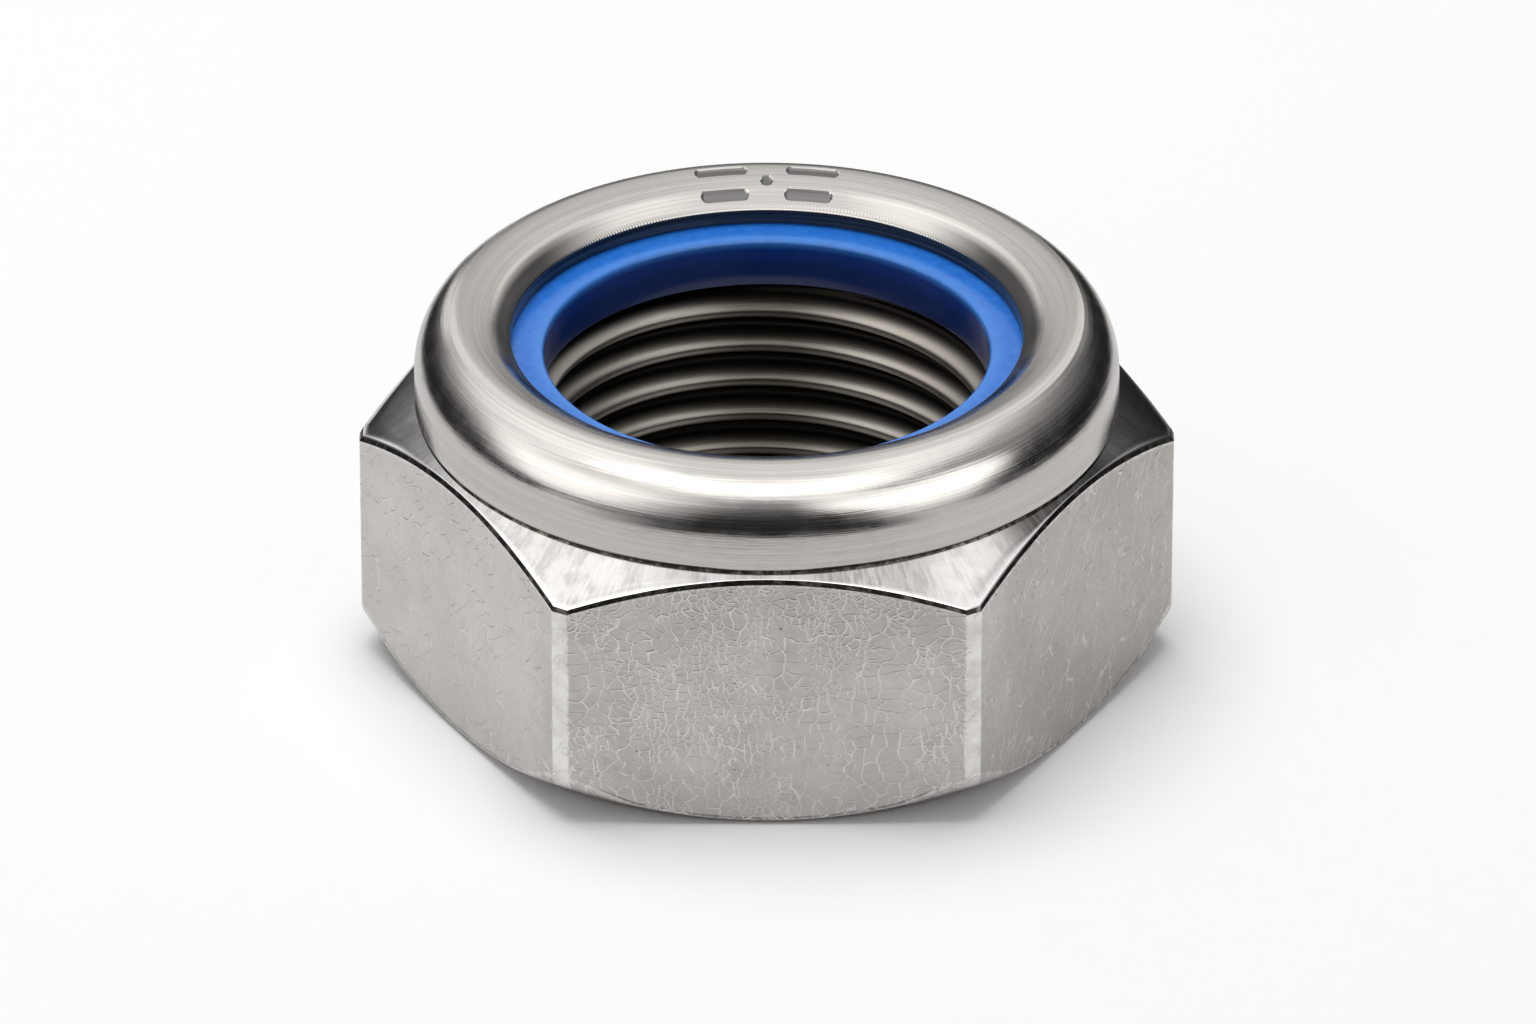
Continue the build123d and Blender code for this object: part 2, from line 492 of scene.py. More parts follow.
def makeRing(material):
    bore, top, edge, low = ring["bore"], ring["top"], ring["innerEdge"], ring["lowerEdge"]
    side, bottom, outer = ringHigh.x, ringLow.z, ring["outerEdge"]
    cut = low * 0.3  # about where the middle of such a rounding lies
    rows = [(bore + low, bottom), (bore + cut, bottom + cut), (bore, bottom + low)]
    rows += [(bore, bottom + share * (top - edge - bottom)) for share in ring["wallRows"]]
    rows += arc((bore + edge, top - edge), edge, 180, 90, ring["innerEdgeRows"])
    rows += [(radius, top) for radius in (bore + 2 * edge, ring["topRow"], ring["showsTo"])]
    rows += arc(rollCentre, side - rollCentre[0], collar["curlEnd"], 0, ring["curlRows"])
    rows += [(side, bottom + outer), (side - outer, bottom), (ring["bottomRow"], bottom)]
    bm = bmesh.new()
    count = ring["columns"]
    table = [[bm.verts.new(point(r, 360 * i / count, z)) for r, z in rows] for i in range(count)]
    for i, left in enumerate(table):
        right = table[(i + 1) % len(table)]
        for row in range(len(rows)):
            below = (row + 1) % len(rows)
            bm.faces.new((left[row], right[row], right[below], left[below]))
    return finishMesh(bm, "nylonRing", [material], ring["sharpAngle"])


# Finishes

softStep = {"interpolation_type": "SMOOTHSTEP"}
colours = {"data_type": "RGBA"}  # sockets of such a Mix node: 0 share, 6 first colour, 7 second colour
lineRadius = 13.0  # millimetres, about the collar's: there the lines round the axis have their true length


def newFinish(name, base, roughness, metallic=1.0, extra=None):
    # a material with its shader, in its mean colour until it is painted
    material = bpy.data.materials.new(name)
    tree = emptyTree(material)
    settings = {"Base Color": linear(base), "Roughness": roughness, "Metallic": metallic}
    shader = addNode(tree, "ShaderNodeBsdfPrincipled", {**settings, **(extra or {})})
    addNode(tree, "ShaderNodeOutputMaterial", {"Surface": shader})
    return material, tree, shader


def paint(tree, shader, base, layers, heights):
    # colours laid over the base, one after the other. A layer is what shows it, where that begins and
    # where it is full, how much it covers, and its colour, or only a ready share and its colour.
    # Then the heights that catch the light, each with how many millimetres it stands up or goes down
    colour = linear(base)
    for shown, *span, second in layers:
        if span:
            low, high, most = span
            shown = addNode(tree, "ShaderNodeMapRange",
                            {**softStep, "Value": shown, "From Min": low, "From Max": high, "To Max": most})
        second = linear(second) if isinstance(second, str) else second
        colour = addNode(tree, "ShaderNodeMix", {**colours, 0: shown, 6: colour, 7: second}).outputs[2]
    tree.links.new(colour, shader.inputs["Base Color"])
    below = {}
    for pattern, depth in heights:
        settings = {"Distance": abs(depth) * mm, "invert": depth < 0, "Height": pattern}
        below = {"Normal": addNode(tree, "ShaderNodeBump", {**settings, **below})}
    tree.links.new(below["Normal"].outputs[0], shader.inputs["Normal"])


def places(tree):  # where a point lies: in millimetres, and as radius, height and direction from the axis
    here = addNode(tree, "ShaderNodeTexCoord").outputs["Object"]
    spot = addNode(tree, "ShaderNodeVectorMath",
                   {"operation": "SCALE", 0: here, "Scale": 1 / mm}).outputs[0]
    split = addNode(tree, "ShaderNodeSeparateXYZ", {0: spot})
    flat = addNode(tree, "ShaderNodeCombineXYZ", {"X": split.outputs[0], "Y": split.outputs[1]})
    radius = addNode(tree, "ShaderNodeVectorMath", {"operation": "LENGTH", 0: flat}).outputs["Value"]
    turn = addNode(tree, "ShaderNodeVectorMath", {"operation": "NORMALIZE", 0: flat}).outputs[0]
    parts = addNode(tree, "ShaderNodeSeparateXYZ", {0: turn}).outputs
    return {"spot": spot, "radius": radius, "height": split.outputs[2],
            "turn": turn, "turnX": parts[0], "turnY": parts[1]}


def ringLines(tree, at, width, length, detail=3.0):  # noise drawn out into lines round the axis
    across = [
        addNode(tree, "ShaderNodeMath", {"operation": "MULTIPLY", 0: at[name], 1: 1 / width})
        for name in ("radius", "height")
    ]
    around = addNode(tree, "ShaderNodeVectorMath",
                     {"operation": "SCALE", 0: at["turn"], "Scale": lineRadius / length})
    split = addNode(tree, "ShaderNodeSeparateXYZ", {0: around})
    lines = addNode(tree, "ShaderNodeCombineXYZ", {"X": across[0], "Y": across[1], "Z": split.outputs[0]})
    return addNode(tree, "ShaderNodeTexNoise", {
        "noise_dimensions": "4D", "Scale": 1.0, "Detail": detail, "Roughness": 0.6,
        "Vector": lines, "W": split.outputs[1],
    })


def paintedSlopeShade(tree, at):  # painted shade: the slope inside the crest is painted dark at its left and right, for a dark reflection
    low, high = collar["paintedShadeSlope"]
    slope = addNode(tree, "ShaderNodeMapRange",
                    {**softStep, "Value": at["radius"], "From Min": low, "From Max": high, "To Max": 0.95})
    side = addNode(tree, "ShaderNodeMath", {"operation": "ABSOLUTE", 0: at["turnX"]})
    side = addNode(tree, "ShaderNodeMapRange",
                   {**softStep, "Value": side, "From Min": 0.55, "From Max": 0.88})
    return addNode(tree, "ShaderNodeMath", {"operation": "MULTIPLY", 0: side, 1: slope})


def lipTeeth(tree, at):  # the tool left the cut end of the lip serrated
    low, high = collar["toothEnd"]
    share = addNode(tree, "ShaderNodeMapRange",
                    {**softStep, "Value": at["radius"], "From Min": low, "From Max": high})
    angle = addNode(tree, "ShaderNodeMath", {"operation": "ARCTAN2", 0: at["turnY"], 1: at["turnX"]})
    around = 2 * math.pi * collar["lipRadius"] / collar["toothWidth"]
    teeth = addNode(tree, "ShaderNodeMath", {"operation": "MULTIPLY", 0: angle, 1: around})
    teeth = addNode(tree, "ShaderNodeMath", {"operation": "SINE", 0: teeth})
    return addNode(tree, "ShaderNodeMath", {"operation": "MULTIPLY", 0: teeth, 1: share})


def brushedCollar():
    # stainless steel, turned and brushed round: fine lines that soften the reflections across them
    material, tree, shader = newFinish("brushedStainless", "#D6D1CC", 0.18, extra={"Anisotropic": 0.4})
    at = places(tree)
    lines = ringLines(tree, at, 0.05, 14.0)  # brush lines of 0.02 mm, drawn at 0.05 so that they show
    broad = ringLines(tree, at, 0.3, 30.0, 2.0)
    waves = ringLines(tree, at, 0.9, 5.0)
    paint(tree, shader, "#C6C1BC", [
        (lines, 0.35, 0.68, 1.0, "#DAD6D1"), (broad, 0.3, 0.72, 0.25, "#E9E6E2"),
        # painted shade on the slope inside the crest, at its left and right
        (paintedSlopeShade(tree, at), "#343230"),
    ], [(waves, 0.015), (lines, 0.0042), (lipTeeth(tree, at), 0.006)])
    haze = addNode(tree, "ShaderNodeTexNoise",
                   {"Scale": 1.1, "Detail": 5.0, "Roughness": 0.65, "Vector": at["spot"]})
    dull = addNode(tree, "ShaderNodeMapRange",
                   {**softStep, "Value": haze, "From Min": 0.35, "From Max": 0.7,
                    "To Min": 0.12, "To Max": 0.19})
    grain = addNode(tree, "ShaderNodeMapRange",
                    {**softStep, "Value": lines, "From Min": 0.3, "From Max": 0.7})
    rough = addNode(tree, "ShaderNodeMath", {"operation": "MULTIPLY_ADD", 0: grain, 1: 0.07, 2: dull})
    tree.links.new(rough.outputs[0], shader.inputs["Roughness"])
    tangent = addNode(tree, "ShaderNodeTangent", {"direction_type": "RADIAL", "axis": "Z"})
    tree.links.new(tangent.outputs[0], shader.inputs["Tangent"])
    return material


def turnedCone():
    # stainless steel, turned to a chamfer: bright, with faint strokes that point at the axis, and painted
    # shade on two stretches in front
    material, tree, shader = newFinish("turnedStainless", "#D8D4CF", 0.18)
    at = places(tree)
    # a stroke is 0.15 mm wide and changes little along its length
    around = addNode(tree, "ShaderNodeVectorMath", {"operation": "SCALE", 0: at["turn"], "Scale": 90.0})
    slow = addNode(tree, "ShaderNodeMath", {"operation": "MULTIPLY", 0: at["radius"], 1: 1.1})
    marks = addNode(tree, "ShaderNodeTexNoise", {
        "noise_dimensions": "4D", "Scale": 1.0, "Detail": 4.0, "Roughness": 0.7,
        "Vector": around, "W": slow,
    })
    cloud = addNode(tree, "ShaderNodeTexNoise", {"Scale": 0.9, "Detail": 4.0, "Vector": at["spot"]})
    layers = [(marks, 0.3, 0.75, 1.0, "#DAD7D4"), (cloud, 0.42, 0.6, 0.55, "#E6E4E1")]
    # painted shade: two stretches in front are painted darker, for dark reflections, and the strokes show
    # more in them
    for toward, low, high, least, colour in (
        ((0.292, -0.956, 0.0), 0.975, 0.995, 0.3, "#A19D99"),
        ((0.839, -0.545, 0.0), 0.955, 0.99, 0.75, "#625E5A"),
    ):
        side = addNode(tree, "ShaderNodeVectorMath",
                       {"operation": "DOT_PRODUCT", 0: at["turn"], 1: toward}).outputs["Value"]
        side = addNode(tree, "ShaderNodeMapRange",
                       {**softStep, "Value": side, "From Min": low, "From Max": high})
        stroke = addNode(tree, "ShaderNodeMapRange",
                         {**softStep, "Value": marks, "From Min": 0.4, "From Max": 0.62, "To Min": least})
        paintedShade = addNode(tree, "ShaderNodeMath", {"operation": "MULTIPLY", 0: side, 1: stroke})
        layers.append((paintedShade, colour))
    # the rim is paler, partly from wear and partly a painted highlight
    wornAndHighlight = addNode(tree, "ShaderNodeAttribute", {"attribute_name": "wornAndHighlight"}).outputs["Fac"]
    paint(tree, shader, "#B9B6B3", layers + [(wornAndHighlight, "#F5F3F1")], [(marks, 0.0025)])
    return material


def unrolled(tree, at, angle):  # millimetres round the axis and up, bent so that no line is straight
    faceRadius = apothem + 0.7  # a face's mean distance from the axis
    around = addNode(tree, "ShaderNodeMath", {"operation": "MULTIPLY", 0: angle, 1: faceRadius})
    bend = addNode(tree, "ShaderNodeCombineXYZ", {"X": around, "Y": at["height"]})
    for scale, reach in ((0.8, 0.7), (2.4, 0.22)):
        drift = addNode(tree, "ShaderNodeTexNoise", {"Scale": scale, "Detail": 0.0, "Vector": at["spot"]})
        bend = addNode(tree, "ShaderNodeVectorMath", {
            "operation": "MULTIPLY_ADD", 0: drift.outputs["Color"], 1: (reach,) * 3, 2: bend,
        }).outputs[0]
    return bend


def cellBorders(tree, place, scale, inner, outer, spread, low, high):
    # lines along the borders of cells: how many cells to a millimetre, a line's inner and outer limit as
    # shares of a cell, and the noise that lets them show, with its values where they begin and are full
    cells = addNode(tree, "ShaderNodeTexVoronoi", {
        "feature": "DISTANCE_TO_EDGE", "voronoi_dimensions": "2D", "Scale": scale, "Vector": place,
    })
    line = addNode(tree, "ShaderNodeMapRange",
                   {**softStep, "Value": cells, "From Min": outer, "From Max": inner})
    here = addNode(tree, "ShaderNodeMapRange",
                   {**softStep, "Value": spread, "From Min": low, "From Max": high})
    return addNode(tree, "ShaderNodeMath", {"operation": "MULTIPLY", 0: line, 1: here})


def netAndScratches(tree, at, mottle):
    angle = addNode(tree, "ShaderNodeMath", {"operation": "ARCTAN2", 0: at["turnY"], 1: at["turnX"]})
    bend = unrolled(tree, at, angle)
    # the net: cells 0.55 and 0.3 mm wide, with lines of 0.05 mm
    patches = addNode(tree, "ShaderNodeTexNoise", {"Scale": 0.42, "Detail": 4.0, "Vector": at["spot"]})
    wide = cellBorders(tree, bend, 1.9, 0.019, 0.0798, patches, 0.34, 0.48)
    narrow = cellBorders(tree, bend, 3.4, 0.034, 0.1428, patches, 0.58, 0.46)
    lines = addNode(tree, "ShaderNodeMath", {"operation": "MAXIMUM", 0: wide, 1: narrow})
    gaps = addNode(tree, "ShaderNodeMapRange",
                   {**softStep, "Value": mottle, "From Min": 0.36, "From Max": 0.5, "To Min": 0.3})
    # the scratches: borders of long thin cells, kept only here and there
    slant = addNode(tree, "ShaderNodeMapping", {
        "vector_type": "TEXTURE", "Rotation": (0.0, 0.0, 0.95), "Scale": (2.2, 0.6, 1.0), "Vector": bend,
    })
    few = addNode(tree, "ShaderNodeTexNoise", {"Scale": 0.8, "Detail": 2.0, "Vector": at["spot"]})
    scratch = cellBorders(tree, slant, 1.2, 0.012, 0.06, few, 0.44, 0.54)
    # every second face took the net, and the ones between them took the scratches
    turns = addNode(tree, "ShaderNodeMath", {"operation": "MULTIPLY", 0: angle, 1: 3.0})
    turns = addNode(tree, "ShaderNodeMath", {"operation": "SINE", 0: turns})
    netted, scratched = [
        addNode(tree, "ShaderNodeMapRange",
                {**softStep, "Value": turns, "From Min": -0.1, "From Max": 0.1,
                 "To Min": before, "To Max": after})
        for before, after in ((0.3, 0.8), (1.0, 0.04))
    ]
    for share in (gaps, netted):
        lines = addNode(tree, "ShaderNodeMath", {"operation": "MULTIPLY", 0: lines, 1: share})
    scratch = addNode(tree, "ShaderNodeMath", {"operation": "MULTIPLY", 0: scratch, 1: scratched})
    return lines, scratch


def pits(tree, spot):  # 0.1 mm across, in a third of the cells
    cells = addNode(tree, "ShaderNodeTexVoronoi", {"Scale": 1.7, "Vector": spot})
    pit = addNode(tree, "ShaderNodeMapRange",
                  {**softStep, "Value": cells, "From Min": 0.1, "From Max": 0.04})
    chance = addNode(tree, "ShaderNodeSeparateColor", {0: cells.outputs["Color"]})
    here = addNode(tree, "ShaderNodeMapRange",
                   {**softStep, "Value": chance, "From Min": 0.7, "From Max": 0.72})
    return addNode(tree, "ShaderNodeMath", {"operation": "MULTIPLY", 0: pit, 1: here})


def tumbledHexagon():
    # stainless steel, forged and tumbled: soft grey with a net of fine raised lines, pits and scratches,
    # burnished paler on the flats of the corners, and paler along the edges from wear and a painted
    # highlight. Painted shade and light: the faces are painted darker low down and at the right, and paler
    # at the left, as the light falls on them
    material, tree, shader = newFinish("tumbledStainless", "#D0CBC7", 0.36)
    at = places(tree)
    cloud, mottle, fine = [
        addNode(tree, "ShaderNodeTexNoise",
                {"Scale": scale, "Detail": detail, "Roughness": roughness, "Vector": at["spot"]})
        for scale, detail, roughness in ((0.3, 6.0, 0.62), (1.3, 4.0, 0.6), (3.4, 5.0, 0.7))
    ]
    lines, scratch = netAndScratches(tree, at, mottle)
    pit = pits(tree, at["spot"])
    # the corners' flats: burnished, with edges ragged by about 0.04 mm
    corner = addNode(tree, "ShaderNodeAttribute", {"attribute_name": "corner"}).outputs["Fac"]
    ragged = addNode(tree, "ShaderNodeMath", {"operation": "MULTIPLY_ADD", 0: fine, 1: 0.14, 2: corner})
    flat = addNode(tree, "ShaderNodeMapRange",
                   {**softStep, "Value": ragged, "From Min": 0.45, "From Max": 0.4})
    shine = addNode(tree, "ShaderNodeMapRange",
                    {**softStep, "Value": mottle, "From Min": 0.35, "From Max": 0.7})
    bright = addNode(tree, "ShaderNodeMix",
                     {**colours, 0: shine, 6: linear("#FAF8F5"), 7: linear("#E3DFDB")}).outputs[2]
    # the edges are paler, partly from wear and partly a painted highlight
    wornAndHighlight = addNode(tree, "ShaderNodeAttribute", {"attribute_name": "wornAndHighlight"}).outputs["Fac"]
    broken = addNode(tree, "ShaderNodeMapRange",
                     {**softStep, "Value": fine, "From Min": 0.38, "From Max": 0.58})
    broken = addNode(tree, "ShaderNodeMath", {"operation": "MULTIPLY", 0: wornAndHighlight, 1: broken})
    paint(tree, shader, "#C8C3BF", [
        (cloud, 0.3, 0.7, 1.0, "#DBD7D3"), (mottle, 0.5, 0.75, 0.4, "#B3AEA9"),
        # the height and turnX layers are painted shade, darker low down and at the right, and painted
        # light, paler at the left
        (fine, 0.4, 0.75, 0.3, "#E2DEDA"), (at["height"], 7.5, 0.5, 0.17, "#A9A49F"),
        (at["turnX"], 0.48, 0.7, 0.4, "#A9A49F"), (at["turnX"], -0.48, -0.7, 0.3, "#EFECE9"),
        (lines, 0.0, 1.0, 0.75, "#FAF8F6"), (scratch, 0.0, 1.0, 0.6, "#F1EEEB"),
        (pit, 0.0, 1.0, 0.9, "#8D8883"), (flat, bright), (broken, "#F3F1EE"),
    ], [(cloud, 0.03), (mottle, 0.008), (lines, 0.012), (scratch, 0.02), (pit, -0.01)])
    rough = addNode(tree, "ShaderNodeMapRange", {**softStep, "Value": flat, "To Min": 0.36, "To Max": 0.3})
    tree.links.new(rough.outputs[0], shader.inputs["Roughness"])
    return material


def plainSteel(name, base, second, roughness, lineWidth, depth):
    # machined stainless steel: lines round the axis from the tool
    material, tree, shader = newFinish(name, base, roughness)
    lines = ringLines(tree, places(tree), lineWidth, 20.0)
    paint(tree, shader, base, [(lines, 0.3, 0.7, 1.0, second)], [(lines, depth)])
    return material


def shearedBevel():
    # stainless steel, sheared and dark where the cone meets the faces, with bright nicks
    material, tree, shader = newFinish("shearedStainless", "#3A3631", 0.34)
    nicks = addNode(tree, "ShaderNodeTexNoise",
                    {"Scale": 2.2, "Detail": 5.0, "Roughness": 0.7, "Vector": places(tree)["spot"]})
    paint(tree, shader, "#35312C", [(nicks, 0.45, 0.72, 1.0, "#8A847C")], [(nicks, 0.02)])
    return material


def tappedThread():
    # stainless steel, tapped: bright on the crests, with painted shade darkening it down in the roots, and
    # painted light making it paler at the left and right of the bore
    material, tree, shader = newFinish("tappedStainless", "#665F57", 0.36)
    at = places(tree)
    lines = ringLines(tree, at, 0.08, 20.0)
    side = addNode(tree, "ShaderNodeMath", {"operation": "ABSOLUTE", 0: at["turnX"]})
    paint(tree, shader, "#4E4942", [
        # the side layer is painted light, paler at the left and right; the radius layer is painted shade in
        # the roots
        (lines, 0.3, 0.7, 1.0, "#67615A"), (side, 0.05, 0.6, 1.0, "#ADA79E"),
        (at["radius"], *thread["paintedRootShade"], 1.0, "#211E1A"),
    ], [(lines, 0.002)])
    return material


def mouldedNylon():
    # nylon, moulded and left satin: saturated blue with a soft highlight along its edge, a painted
    # highlight making the top paler towards the bore, and painted shade darkening it down in the bore
    material, tree, shader = newFinish("mouldedNylon", "#2779DF", 0.2, 0.0, {"IOR": 1.53})
    at = places(tree)
    cloud = addNode(tree, "ShaderNodeTexNoise", {"Scale": 3.0, "Detail": 4.0, "Vector": at["spot"]})
    bore, top = ring["bore"], ring["top"]
    paint(tree, shader, "#2273D8", [
        # the radius layer is a painted highlight, paler towards the bore; the two height layers are painted
        # shade down in the bore
        (cloud, 0.3, 0.7, 1.0, "#2B7FE6"), (at["radius"], bore + 0.8, bore + 0.15, 0.3, "#5FA6F5"),
        (at["height"], top - 0.08, top - 0.45, 1.0, "#053C98"),
        (at["height"], top - 0.3, top - 1.2, 1.0, "#022C72"),
    ], [(cloud, 0.004)])
    return material


print("finishes")
steel = {
    "collar": brushedCollar(),
    # the lip's dark colour is painted shade, for the shadow and dark reflections inside the lip
    "lip": plainSteel("cutStainlessPaintedShade", "#2B2927", "#6A6662", 0.3, 0.12, 0.004),
    "cone": turnedCone(),
    "face": tumbledHexagon(),
    "bevel": shearedBevel(),
    "underside": plainSteel("facedStainless", "#BEB9B4", "#D4D0CB", 0.26, 0.12, 0.004),
    "thread": tappedThread(),
    "mark": plainSteel("stampedStainless", "#787674", "#868482", 0.45, 0.1, 0.002),
}

print("nut body")
nut = makeNut(steel)
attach(nut, "root")
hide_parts("nut_body")

print("nylon ring")
nylon = makeRing(mouldedNylon())
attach(nylon, "root")
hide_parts("nylon_ring")

# Studio: pale floor, white background, softboxes and dark cards round the nut

studio = {
    "floorHalf": 900.0,
    "worldFill": 0.42,  # the soft light that the floor and the nylon get from all round
    "keyPower": 1.04,  # watts
    "keySize": 340.0,
    "keyPlace": (-45.0, 50.0, 415.0),
    "middle": 13.5,  # height of the collar's rim, which the cards are placed about
    "rim": 12.0,  # radius of the rim, where it reflects most of them
    "cardRows": 32,  # rows and columns of a card's mesh
    "cardFoot": 0.3,  # no card comes closer to the floor
    "openBelow": -15,  # a card whose foot is lower than this isn't faded there
    "floorTone": 0.8,  # as the nut sees the floor
    "floorShown": 1.06,  # as the camera sees it, close to the white behind it
}

# the cards, as the rim sees them, in degrees: where each one's left and right side are, to the right of
# the front, and its light, all three at some of the rises between its foot and its top. It fades over
# the degrees of soft, at its left, right and ends. Its distance is the radius of the sphere it lies on,
# and a rim of its own is the radius that it is seen from
cards = {
    "topBox": {"left": {0: -80}, "right": {0: 62}, "rise": (42, 71), "distance": 200, "soft": (5, 5, 4),
               "light": {42: 1.7, 50: 2.0, 71: 1.9}},
    "leftTopBox": {"left": {0: -158}, "right": {0: -74},
                   "rise": (30, 77), "distance": 190, "soft": (7, 7, 7),
                   "light": {32: 0.95, 42: 1.2, 50: 1.35, 65: 1.4, 77: 1.3}},
    "rightTopBox": {"left": {0: 52}, "right": {0: 132},
                    "rise": (47, 77), "distance": 190, "soft": (7, 40, 6),
                    "light": {48: 1.05, 56: 1.3, 64: 1.4, 77: 1.25}},
    "backPanel": {"left": {0: 152}, "right": {0: 208},
                  "rise": (-20, 70), "distance": 75, "soft": (6, 6, 6), "rim": 0,
                  "light": {-20: 0.1, 0: 0.17, 12: 0.42, 22: 0.65, 60: 0.8, 70: 0.9}},
    "leftFlag": {"left": {-25: -178, -4: -170, 4: -161, 8: -156, 12: -152, 32: -150},
                 "right": {0: -70}, "rise": (-25, 32), "distance": 62, "soft": (8, 8, 6),
                 "light": {-25: 0.01, 1: 0.02, 6: 0.055, 10: 0.12, 14: 0.22, 20: 0.42, 32: 0.85}},
    "rightFlag": {"left": {0: 62}, "right": {-4: 188, 4: 181, 12: 170, 20: 163, 54: 157},
                  "rise": (-25, 54), "distance": 62, "soft": (8, 24, 6),
                  "light": {-25: 0.01, 4: 0.015, 12: 0.05, 20: 0.125, 28: 0.22, 36: 0.36, 44: 0.6,
                            54: 0.85}},
    "rightGap": {"left": {0: 32}, "right": {0: 112}, "rise": (33, 48), "distance": 61, "soft": (14, 14, 4),
                 "light": {33: 0.32, 48: 0.5}},
    "leftFrontBox": {"left": {-4: -98, 4: -104, 12: -108, 20: -116, 30: -120, 40: -120},
                     "right": {0: 2}, "rise": (-7, 40), "distance": 60, "soft": (30, 10, 6),
                     "light": {-6: 0.9, 0: 1.25, 5: 1.45, 15: 1.65, 27: 1.6, 34: 1.25, 40: 1.0}},
    "rightFrontBox": {"left": {0: 8}, "right": {-4: 76, 4: 80, 12: 87, 20: 90, 28: 88, 36: 74},
                      "rise": (-12, 40), "distance": 60, "soft": (14, 14, 6),
                      "light": {-12: 0.4, -4: 1.0, 4: 1.5, 12: 1.9, 27: 1.8, 34: 1.3, 40: 1.0}},
    "farDark": {"left": {0: -90}, "right": {0: 90}, "rise": (-20, 2), "distance": 92, "soft": (4, 4, 5),
                "light": {-20: 0.1, 2: 0.14}},
    "frontFlag": {"left": {-25: -72, -4: -66, 4: -63, 12: -62, 20: -55, 28: -50, 44: -44},
                  "right": {-25: 58, -4: 43, 4: 46, 12: 37, 20: 25, 28: 22, 44: 18},
                  "rise": (-27, 45), "distance": 43, "soft": (48, 16, 7),
                  "light": {-25: 0.012, 4: 0.018, 12: 0.06, 20: 0.13, 28: 0.24, 36: 0.34, 45: 0.5}},
}


def between(table, place):  # a value read from a table of places and values
    places = sorted(table)
    for low, high in zip(places, places[1:]):
        if place <= high:
            return table[low] + (table[high] - table[low]) * max(0.0, (place - low) / (high - low))
    return table[places[-1]]


def cardPlace(plan, azimuth, rise):  # where the rim sees that azimuth and rise, on a sphere round the nut
    side, turn, lift = math.radians(azimuth / 2), math.radians(azimuth), math.radians(rise)
    start = Vector((math.sin(side), -math.cos(side), 0)) * plan.get("rim", studio["rim"])
    way = Vector((math.sin(turn) * math.cos(lift), -math.cos(turn) * math.cos(lift), math.sin(lift)))
    along = start.dot(way)
    place = start + way * (math.sqrt(along ** 2 + plan["distance"] ** 2 - start.length_squared) - along)
    place.z = max(studio["cardFoot"], place.z + studio["middle"])
    return place * mm


def cardGlow(name):  # light and cover as the card's points have them
    material = bpy.data.materials.new(name)
    tree = emptyTree(material)
    level = addNode(tree, "ShaderNodeAttribute", {"attribute_name": "glow"}).outputs["Fac"]
    share = addNode(tree, "ShaderNodeAttribute", {"attribute_name": "cover"}).outputs["Fac"]
    light = addNode(tree, "ShaderNodeEmission", {"Color": (1, 1, 1, 1), "Strength": level})
    clear = addNode(tree, "ShaderNodeBsdfTransparent")
    mixed = addNode(tree, "ShaderNodeMixShader", {0: share, 1: clear, 2: light})
    addNode(tree, "ShaderNodeOutputMaterial", {"Surface": mixed})
    return material


def makeCard(name, plan):  # part of that sphere, seen in the nut's reflections only
    bm = bmesh.new()
    glow = bm.verts.layers.float.new("glow")
    cover = bm.verts.layers.float.new("cover")
    count = studio["cardRows"]
    low, high = plan["rise"]
    leftFade, rightFade, endFade = plan["soft"]
    table = []
    for i in range(count + 1):
        column = []
        for j in range(count + 1):
            across, rise = i / count, low + (high - low) * j / count
            left, right = between(plan["left"], rise), between(plan["right"], rise)
            vert = bm.verts.new(cardPlace(plan, left + (right - left) * across, rise))
            vert[glow] = between(plan["light"], rise)
            toLeft, toRight = across * (right - left), (1 - across) * (right - left)
            toEnd = high - rise if low < studio["openBelow"] else min(high - rise, rise - low)
            sides = smoothstep(0, leftFade, toLeft) * smoothstep(0, rightFade, toRight)
            vert[cover] = sides * smoothstep(0, endFade, toEnd)
            column.append(vert)
        table.append(column)
    for left, right in zip(table, table[1:]):
        for row in range(count):
            bm.faces.new((left[row], right[row], right[row + 1], left[row + 1]))
    card = finishMesh(bm, name, [cardGlow(name)])
    card.visible_camera = False
    card.visible_diffuse = False
    card.visible_shadow = False


def makeFloor():
    bm = bmesh.new()
    half = studio["floorHalf"] * mm
    corners = ((-half, -half), (half, -half), (half, half), (-half, half))
    bm.faces.new([bm.verts.new((x, y, 0.0)) for x, y in corners])
    material = bpy.data.materials.new("paleFloor")
    tree = emptyTree(material)
    rays = addNode(tree, "ShaderNodeLightPath")
    seen = addNode(tree, "ShaderNodeMix", {
        **colours, 0: rays.outputs["Is Camera Ray"],
        6: (*[studio["floorTone"]] * 3, 1), 7: (*[studio["floorShown"]] * 3, 1),
    })
    paper = addNode(tree, "ShaderNodeBsdfDiffuse", {"Color": seen.outputs[2]})
    addNode(tree, "ShaderNodeOutputMaterial", {"Surface": paper})
    floor = finishMesh(bm, "paleFloor", [material])


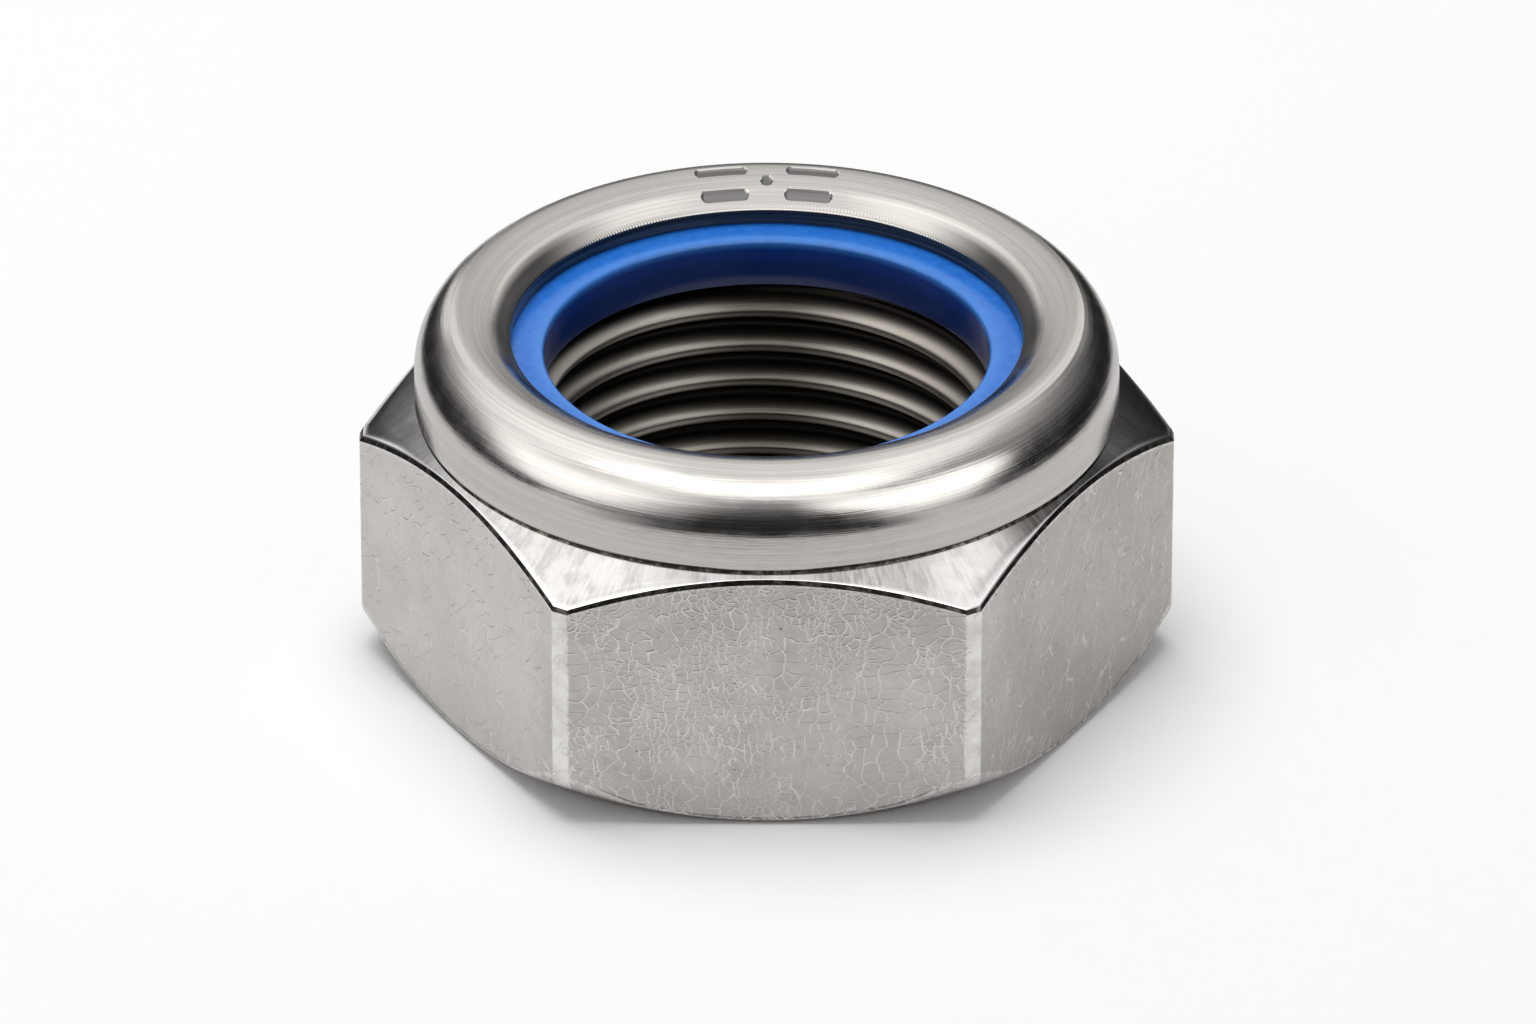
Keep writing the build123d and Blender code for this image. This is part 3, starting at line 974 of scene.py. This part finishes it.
def makeWorld():
    world = bpy.data.worlds.new("whiteBackground")
    bpy.context.scene.world = world
    tree = emptyTree(world)
    rays = addNode(tree, "ShaderNodeLightPath")
    seen = rays.outputs["Is Camera Ray"]
    for kind in ("Is Glossy Ray", "Is Transmission Ray"):
        seen = addNode(tree, "ShaderNodeMath", {"operation": "MAXIMUM", 0: seen, 1: rays.outputs[kind]})
    fill = addNode(tree, "ShaderNodeBackground", {"Color": (1, 1, 1, 1), "Strength": studio["worldFill"]})
    white = addNode(tree, "ShaderNodeBackground", {"Color": (1, 1, 1, 1), "Strength": 1.0})
    mixed = addNode(tree, "ShaderNodeMixShader", {0: seen, 1: fill, 2: white})
    addNode(tree, "ShaderNodeOutputWorld", {"Surface": mixed})


def makeLamp():
    lamp = bpy.data.lights.new("keySoftbox", "AREA")
    lamp.shape = "DISK"
    lamp.size = studio["keySize"] * mm
    lamp.energy = studio["keyPower"]
    holder = bpy.data.objects.new("keySoftbox", lamp)
    bpy.context.scene.collection.objects.link(holder)
    place = Vector(studio["keyPlace"]) * mm
    holder.location = place
    holder.rotation_euler = (-place).to_track_quat("-Z", "Y").to_euler()
    holder.visible_glossy = False
    holder.visible_camera = False


view = {
    "lens": 371.5,
    "sensor": 36.0,
    "distance": 600.0,
    "elevation": 29.65,  # degrees
    "aim": 5.73,  # height of the point on the axis that it looks at
    "shift": 0.0008,  # sideways, as a share of the sensor
}


def makeCamera():
    data = bpy.data.cameras.new("productCamera")
    data.lens = view["lens"]
    data.sensor_width = view["sensor"]
    data.shift_x = view["shift"]
    camera = bpy.data.objects.new("productCamera", data)
    bpy.context.scene.collection.objects.link(camera)
    rise = math.radians(view["elevation"])
    aim = Vector((0, 0, view["aim"] * mm))
    back = Vector((0, -math.cos(rise), math.sin(rise)))
    camera.location = aim + back * view["distance"] * mm
    camera.rotation_euler = (-back).to_track_quat("-Z", "Y").to_euler()
    bpy.context.scene.camera = camera


print("studio")
makeFloor()
makeWorld()
makeLamp()
makeCamera()
for name, plan in cards.items():
    makeCard(name, plan)
bpy.context.scene.view_settings.view_transform = "Standard"

print("done")
